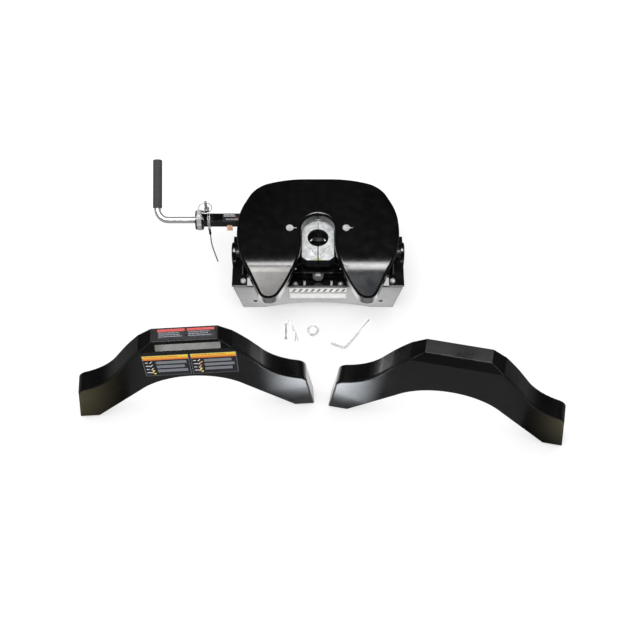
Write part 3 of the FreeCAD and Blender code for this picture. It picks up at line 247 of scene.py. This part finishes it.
pale_print = surface("pale_print", (0.62, 0.62, 0.60), (0.80, 0.80, 0.78), 60.0, (0.30, 0.45), 60.0,
                     (900.0, 0.08, 0.0001), edge=0.0004)
dark_print = surface("dark_print", (0.010, 0.010, 0.014), (0.020, 0.020, 0.026), 90.0, (0.26, 0.40), 60.0,
                     (900.0, 0.08, 0.0001), edge=0.0004)
silver_print = surface("silver_print", (0.32, 0.32, 0.30), (0.62, 0.62, 0.60), 22.0, (0.22, 0.36), 50.0,
                       (900.0, 0.10, 0.0001), metallic=0.6)
flag_plastic = surface("flag_plastic", (0.86, 0.42, 0.24), (0.95, 0.62, 0.42), 90.0, (0.35, 0.5), 90.0,
                       (900.0, 0.15, 0.0002), edge=0.0008)
grey_ink = surface("grey_ink", (0.13, 0.14, 0.16), (0.24, 0.25, 0.27), 500.0, (0.35, 0.5), 90.0)
white_ink = surface("white_ink", (0.66, 0.66, 0.64), (0.84, 0.84, 0.82), 300.0, (0.35, 0.5), 90.0)
yellow_ink = surface("yellow_ink", (0.80, 0.58, 0.04), (0.92, 0.72, 0.08), 300.0, (0.35, 0.5), 90.0)
red_ink = surface("red_ink", (0.42, 0.03, 0.03), (0.62, 0.07, 0.06), 300.0, (0.35, 0.5), 90.0)
green_wax = surface("green_wax", (0.42, 0.46, 0.03), (0.62, 0.62, 0.10), 300.0, (0.4, 0.6), 90.0)
dark_ink = surface("dark_ink", (0.02, 0.02, 0.02), (0.05, 0.05, 0.05), 300.0, (0.35, 0.5), 90.0)
weld_metal = surface("painted_weld", BLACK, BLACK_WARM, 60.0, (0.25, 0.40), 120.0, (900.0, 0.3, 0.0003))
header_print = graded("header_print", [(0.0, (0.75, 0.16, 0.02)), (0.35, (0.86, 0.30, 0.02)),
                                       (0.62, (0.92, 0.62, 0.03)), (1.0, (0.90, 0.72, 0.05))])

FINISH = {
    "black_paint": paint,
    "zinc_steel": zinc,
    "bright_rod": rod_metal,
    "bushing_polymer": rubber,
    "foam_grip": foam,
    "black_cord": rubber,
    "pale_plate": pale_print,
    "printed_sheet": dark_print,
    "silver_sheet": silver_print,
    "orange_plastic": flag_plastic,
}
OWN_FINISH = {
    "leg_left": leg_paint,
    "leg_right": leg_paint,
    "crossmember_rear": panel_paint_with_painted_sheen,
    "jaw_left": jaw_zinc,
    "jaw_right": jaw_zinc,
    "trunnion_spacers": dull_steel,
    "pull_pin": rod_metal,
}
for part in frame["record"]["subparts"]:
    mesh = nodes[part["node"]].data
    chosen = OWN_FINISH.get(part["node"], FINISH[part["material_slot"]])
    mesh.materials.clear()
    mesh.materials.append(chosen)


# Piece building

def piece_from(name, mesh_build, material, body):
    """A mesh piece that rides on a body."""
    mesh = bpy.data.meshes.new(name)
    mesh_build.to_mesh(mesh)
    mesh_build.free()
    mesh.materials.append(material)
    piece = bpy.data.objects.new(name, mesh)
    scene.collection.objects.link(piece)
    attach(piece, body)
    return piece


class Sheet:
    """A flat face to print on: a corner, the directions along and up it, and its outward normal."""

    def __init__(self, corner, along, up):
        self.corner = Vector(corner)
        self.along = Vector(along).normalized()
        self.up = Vector(up).normalized()
        self.out = self.along.cross(self.up)

    def at(self, u, v, lift):
        """The place u along, v up and lift off the face, all in millimetres."""
        return self.corner + self.along * u * MM + self.up * v * MM + self.out * lift * MM


def prints(name, sheet, patches, material, body, lift=0.05, thick=0.12):
    """Thin raised patches on a sheet; each patch is a list of (u, v) corners in millimetres."""
    build = bmesh.new()
    for patch in patches:
        low = [build.verts.new(sheet.at(u, v, lift - thick)) for u, v in patch]
        high = [build.verts.new(sheet.at(u, v, lift)) for u, v in patch]
        build.faces.new(high)
        build.faces.new(low[::-1])
        for index in range(len(patch)):
            after = (index + 1) % len(patch)
            build.faces.new([low[index], low[after], high[after], high[index]])
    bmesh.ops.recalc_face_normals(build, faces=build.faces)
    return piece_from(name, build, material, body)


def bar(u0, v0, u1, v1):
    """The corners of a rectangle."""
    return [(u0, v0), (u1, v0), (u1, v1), (u0, v1)]


def disc(u, v, radius, sides=16):
    """The corners of a many-sided disc."""
    turn = 2 * math.pi / sides
    return [(u + radius * math.cos(turn * i), v + radius * math.sin(turn * i)) for i in range(sides)]


def border(u0, v0, u1, v1, width):
    """Four bars just inside a rectangle."""
    return [
        bar(u0, v0, u1, v0 + width),
        bar(u0, v1 - width, u1, v1),
        bar(u0, v0 + width, u0 + width, v1 - width),
        bar(u1 - width, v0 + width, u1, v1 - width),
    ]


def word_bars(low_u, high_u, top_v, rows, pitch, height, seed, ragged=0.25):
    """Rows of short bars that stand in for lines of small print, and spell nothing."""
    chance = random.Random(seed)
    found = []
    for row in range(rows):
        v = top_v - row * pitch
        end = high_u - (high_u - low_u) * ragged * chance.random()
        u = low_u
        while u < end:
            length = chance.uniform(3.0, 9.0)
            stop = min(u + length, end)
            if stop - u > 1.0:
                found.append(bar(u, v - height, stop, v))
            u = stop + 1.0
    return found


def weld(name, start, end, radius, body, seed):
    """A bead of overlapping ripples along a straight joint."""
    chance = random.Random(seed)
    start, end = Vector(start), Vector(end)
    along = (end - start).normalized()
    side = along.orthogonal().normalized()
    other = along.cross(side)
    length = (end - start).length
    steps = max(8, int(length / (0.7 * radius)))
    around = 10
    build = bmesh.new()
    rings = []
    for step in range(steps + 1):
        t = step / steps
        swell = 1.0 + 0.16 * math.sin(step * 1.9) + chance.uniform(-0.06, 0.06)
        if step in (0, steps):
            swell = 0.35
        centre = start + along * (t * length)
        ring = []
        for index in range(around):
            angle = 2 * math.pi * index / around
            outward = side * math.cos(angle) + other * math.sin(angle)
            ring.append(build.verts.new(centre + outward * radius * swell))
        rings.append(ring)
    for before, after in zip(rings, rings[1:]):
        for index in range(around):
            following = (index + 1) % around
            build.faces.new([before[index], before[following], after[following], after[index]])
    build.faces.new(rings[0][::-1])
    build.faces.new(rings[-1])
    bmesh.ops.recalc_face_normals(build, faces=build.faces)
    for face in build.faces:
        face.smooth = True
    return piece_from(name, build, weld_metal, body)


# Cord: the short lanyard under the chain

LANYARD_POINTS = [
    (-0.299, 0.0745, 0.089), (-0.299, 0.0745, 0.076), (-0.2995, 0.0735, 0.060), (-0.298, 0.0695, 0.043),
    (-0.294, 0.062, 0.027), (-0.2885, 0.052, 0.0135), (-0.283, 0.040, 0.0035),
]
LANYARD_DIAMETER = 0.003

curve = bpy.data.curves.new("lanyard", "CURVE")
curve.dimensions = "3D"
curve.bevel_depth = LANYARD_DIAMETER / 2
curve.bevel_resolution = 6
curve.use_fill_caps = True
spline = curve.splines.new("NURBS")
spline.points.add(len(LANYARD_POINTS) - 1)
for point, place in zip(spline.points, LANYARD_POINTS):
    point.co = (*place, 1)
spline.order_u = 3
spline.use_endpoint_u = True
spline.resolution_u = 12
curve.materials.append(rubber)
lanyard = bpy.data.objects.new("lanyard", curve)
scene.collection.objects.link(lanyard)
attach(lanyard, "head")
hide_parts("lanyard_cord")


# Printed sheets on the left leg

LEG_TURN = math.radians(3.6)
LEG_ALONG = Vector((math.cos(LEG_TURN), math.sin(LEG_TURN), 0))
LEG_BACK = Vector((-math.sin(LEG_TURN), math.cos(LEG_TURN), 0))

panel_low, panel_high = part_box("leg_panels")
panel_height = (panel_high.z - panel_low.z) / MM
front = Sheet(panel_low, LEG_ALONG, (0, 0, 1))
PANELS = ((0.0, 111.0), (115.0, 225.0))
HEADER = 22.0
headers, borders, lines, whites, yellows, reds = [], [], [], [], [], []
for number, (left, right) in enumerate(PANELS):
    headers.append(bar(left + 1.5, panel_height - HEADER, right - 1.5, panel_height - 1.5))
    borders += border(left, 0, right, panel_height, 1.0)
    reds += word_bars(left + 6, right - 14, panel_height - 5.5, 1, 8, 3.0, 3 + number, 0.5)
    text_left = left + 31
    for block in range(3):
        top = panel_height - HEADER - 7 - block * 20
        lines += [bar(text_left, top - 13, right - 7 - 6 * ((block + number) % 2), top)]
    for row in range(4):
        v = panel_height - HEADER - 11 - row * 16
        whites.append(bar(left + 5, v - 2, left + 12 + 4 * (row % 2), v + 1))
        whites.append([(left + 15, v - 4), (left + 17.5, v - 4), (left + 23, v + 5), (left + 20.5, v + 5)])
    yellows.append(disc(left + 21, 26, 3.2))
    yellows.append(disc(left + 23, 11, 3.2))
    if number:
        reds.append(disc(left + 22, 44, 3.6))
        yellows.append(disc(left + 25, 58, 2.2))
prints("panel_headers", front, headers, header_print, "leg_left")
prints("panel_borders", front, borders, grey_ink, "leg_left")
prints("panel_lines", front, lines, grey_ink, "leg_left")
prints("panel_strokes", front, whites, white_ink, "leg_left")
prints("panel_yellow_dots", front, yellows, yellow_ink, "leg_left", lift=0.09)
prints("panel_red_marks", front, reds, red_ink, "leg_left", lift=0.09)

top_low, top_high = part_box("leg_top_panels")
TOP_LENGTH = 136.0
TOP_DEPTH = 28.5
top_sheet = Sheet((top_low.x, top_low.y, top_high.z), LEG_ALONG, LEG_BACK)
halves = ((0.0, 66.5), (69.5, TOP_LENGTH))
prints("top_headers", top_sheet, [bar(a + 1, TOP_DEPTH - 8, b - 1, TOP_DEPTH - 1) for a, b in halves],
       red_ink, "leg_left")
top_lines = []
for number, (a, b) in enumerate(halves):
    top_lines += word_bars(a + 4, b - 4, TOP_DEPTH - 10, 3, 5.0, 2.6, 40 + number, 0.35)
prints("top_lines", top_sheet, top_lines, grey_ink, "leg_left")


# Crossmember: plain plates where printed ones are, and its weld beads

plate_low, plate_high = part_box("badge_plate")
strip_low, strip_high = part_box("badge_strip")
plate_sheet = Sheet(plate_low, (1, 0, 0), (0, 0, 1))
strip_sheet = Sheet(strip_low, (1, 0, 0), (0, 0, 1))
plate_size = (plate_high - plate_low) / MM
strip_size = (strip_high - strip_low) / MM
prints("plate_frame", plate_sheet, border(1.5, 1.5, plate_size.x - 1.5, plate_size.z - 1.5, 0.8), grey_ink,
       "crossmember")
slants = []
SLANT = 7.0
for index in range(9):
    u = 6 + index * 16.5
    slants.append([(u, 3), (u + 7, 3), (u + 7 + SLANT, strip_size.z - 3), (u + SLANT, strip_size.z - 3)])
prints("strip_slants", strip_sheet, slants, dark_ink, "crossmember")

rear_low, rear_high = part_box("crossmember_rear")
front_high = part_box("crossmember_front")[1]
FOOT_X = 0.206
WELD_INSET = 0.004
WELD_RADIUS = 0.0022
NEAR_WELD_SEED = 11
FAR_WELD_SEED = 12
for side, sign in (("left", -1), ("right", 1)):
    for row, corner, y, seed in (("near", rear_high, rear_low.y + WELD_INSET, NEAR_WELD_SEED),
                                 ("far", front_high, front_high.y - WELD_INSET, FAR_WELD_SEED)):
        weld(f"weld_{row}_{side}", (sign * FOOT_X, y, WELD_INSET),
             (sign * (corner.x - 0.001), y, corner.z - 0.006), WELD_RADIUS, "crossmember", seed)


# Head: marks on the cover, the jaws and the tube

jaw_low, jaw_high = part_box("jaw_left")
jaw_sheet = Sheet((0, jaw_low.y, jaw_high.z), (1, 0, 0), (0, 1, 0))
for side, mirror in (("left", -1), ("right", 1)):
    groove = [(mirror * 6, 12), (mirror * 6, 18), (mirror * 15, 27), (mirror * 15, 33), (mirror * 33, 48)]
    strokes = []
    for (u0, v0), (u1, v1) in zip(groove, groove[1:]):
        across = Vector((v0 - v1, u1 - u0)).normalized() * 0.45
        strokes.append([(u0 - across.x, v0 - across.y), (u1 - across.x, v1 - across.y),
                        (u1 + across.x, v1 + across.y), (u0 + across.x, v0 + across.y)])
    prints(f"jaw_scribe_{side}", jaw_sheet, strokes, dark_ink, f"jaw_{side}", lift=0.04)
    wax = [[(mirror * 2, 1.0), (mirror * 9, 0.6), (mirror * 10, 3.2), (mirror * 5, 5.4), (mirror * 2, 6.2)]]
    prints(f"jaw_wax_{side}", jaw_sheet, wax, green_wax, f"jaw_{side}", lift=0.25, thick=0.5)

cover_low, cover_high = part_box("channel_cover")
cover_sheet = Sheet((cover_low.x, cover_low.y, cover_high.z), (1, 0, 0), (0, 1, 0))
cover_size = (cover_high - cover_low) / MM
middle = cover_size.x / 2
prints("cover_lines", cover_sheet,
       word_bars(middle - 9, middle + 9, cover_size.y - 12, 1, 4, 1.4, 60, 0.1)
       + word_bars(middle - 15, middle + 15, cover_size.y - 18, 1, 4, 1.2, 61, 0.1),
       grey_ink, "head")

label_low, label_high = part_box("tube_label")
label_sheet = Sheet((label_low.x, label_low.y, label_high.z), (1, 0, 0), (0, 1, 0))
label_size = (label_high - label_low) / MM
prints("tube_label_lines", label_sheet,
       word_bars(3, label_size.x - 3, label_size.y - 3, 2, 4.5, 1.8, 70, 0.3)
       + word_bars(10, label_size.x - 3, 6, 1, 4, 1.6, 71, 0.1),
       white_ink, "head")
prints("tube_label_red", label_sheet, [bar(label_size.x - 12, 7.5, label_size.x - 1, 9.5)],
       red_ink, "head")


# Floor, backdrop and light

def stage_plane(name, size, centre, material):
    """A level rectangle with a material, linked to the scene."""
    mesh = bpy.data.meshes.new(name)
    half_x, half_y = size[0] / 2, size[1] / 2
    mesh.from_pydata([(-half_x, -half_y, 0), (half_x, -half_y, 0), (half_x, half_y, 0), (-half_x, half_y, 0)],
                     [], [(0, 1, 2, 3)])
    mesh.materials.append(material)
    plane = bpy.data.objects.new(name, mesh)
    plane.location = centre
    scene.collection.objects.link(plane)
    return plane


floor_material, _, _, floor_shader = new_material("floor")
floor_shader.inputs["Base Color"].default_value = (0.48, 0.48, 0.48, 1)
floor_shader.inputs["Emission Color"].default_value = (1, 1, 1, 1)
floor_shader.inputs["Emission Strength"].default_value = 0.55
floor_shader.inputs["Roughness"].default_value = 0.9
floor_shader.inputs["Specular IOR Level"].default_value = 0.1
floor = stage_plane("floor", (40, 40), (0, 0, -0.0005), floor_material)
floor.visible_glossy = False


def glow_card(name, size, centre, strength, colour=(1, 1, 1), softness=0.35):
    """A card that only reflections see, bright in the middle and fading to its edges."""
    material = bpy.data.materials.new(name)
    material.use_nodes = True
    card_nodes, links = material.node_tree.nodes, material.node_tree.links
    card_nodes.remove(card_nodes["Principled BSDF"])
    output = card_nodes["Material Output"]
    emission = card_nodes.new("ShaderNodeEmission")
    emission.inputs["Color"].default_value = (*colour, 1)
    split = card_nodes.new("ShaderNodeSeparateXYZ")
    links.new(card_nodes.new("ShaderNodeTexCoord").outputs["Generated"], split.inputs["Vector"])
    fades = []
    for axis in ("X", "Y"):
        centred = card_nodes.new("ShaderNodeMath")
        centred.operation = "SUBTRACT"
        centred.inputs[1].default_value = 0.5
        links.new(split.outputs[axis], centred.inputs[0])
        away = card_nodes.new("ShaderNodeMath")
        away.operation = "ABSOLUTE"
        links.new(centred.outputs["Value"], away.inputs[0])
        fade = card_nodes.new("ShaderNodeMapRange")
        fade.interpolation_type = "SMOOTHSTEP"
        fade.inputs["From Min"].default_value = 0.5
        fade.inputs["From Max"].default_value = 0.5 - softness
        links.new(away.outputs["Value"], fade.inputs["Value"])
        fades.append(fade.outputs["Result"])
    product = card_nodes.new("ShaderNodeMath")
    product.operation = "MULTIPLY"
    links.new(fades[0], product.inputs[0])
    links.new(fades[1], product.inputs[1])
    strong = card_nodes.new("ShaderNodeMath")
    strong.operation = "MULTIPLY"
    strong.inputs[1].default_value = strength
    links.new(product.outputs["Value"], strong.inputs[0])
    links.new(strong.outputs["Value"], emission.inputs["Strength"])
    links.new(emission.outputs["Emission"], output.inputs["Surface"])
    card = stage_plane(name, size, centre, material)
    card.visible_camera = False
    card.visible_diffuse = False
    card.visible_shadow = False
    return card


def soft_box(name, location, target, size, power):
    """A rectangular lamp aimed at a target."""
    data = bpy.data.lights.new(name, "AREA")
    data.shape = "RECTANGLE"
    data.size, data.size_y = size
    data.energy = power
    light = bpy.data.objects.new(name, data)
    light.location = location
    direction = Vector(target) - Vector(location)
    light.rotation_euler = direction.to_track_quat("-Z", "Y").to_euler()
    scene.collection.objects.link(light)
    return light


world = bpy.data.worlds.new("studio")
world.use_nodes = True
world.node_tree.nodes["Background"].inputs["Color"].default_value = (1, 1, 1, 1)
world.node_tree.nodes["Background"].inputs["Strength"].default_value = 1.08
world.cycles_visibility.glossy = False
scene.world = world

# A fill for the matt part of the light, then the cards: three overhead for the plate and its ramps, one
# broad one under the floor, and between that and the floor small ones for the rims, the panel and the feet.
fill = soft_box("fill", (-0.9, -0.6, 3.4), (0.0, -0.1, 0), (2.6, 2.6), 30)
fill.visible_glossy = False
glow_card("bend_sheen", (3.6, 1.9), (0.0, -0.25, 3.2), 24.0, softness=0.5)
glow_card("left_ramp_sheen", (1.3, 1.5), (-0.50, -0.85, 2.9), 19.0, (1.0, 0.98, 0.94), 0.42)
glow_card("right_ramp_sheen", (1.3, 1.0), (0.55, -1.35, 2.9), 0.7, (0.62, 0.80, 1.0), 0.4)
glow_card("floor_sheen", (6, 6), (0, 0, -0.02), 0.16, softness=0.05)
glow_card("rim_sheen", (0.9, 0.42), (0.0, -0.26, -0.011), 1.6)
glow_card("panel_sheen", (0.9, 0.15), (0.0, -0.155, -0.010), 4.0)
glow_card("foot_sheen", (0.30, 0.30), (0.0, -0.50, -0.012), 10.0, (0.90, 0.94, 1.0), 0.5)
glow_card("left_foot_sheen", (0.34, 0.30), (-0.66, -0.54, -0.012), 0.8, (1.0, 0.9, 0.55), 0.5)
glow_card("right_foot_sheen", (0.34, 0.30), (0.68, -0.66, -0.012), 1.4, (1.0, 0.9, 0.6), 0.5)

scene.view_settings.view_transform = "Standard"
scene.view_settings.look = "None"
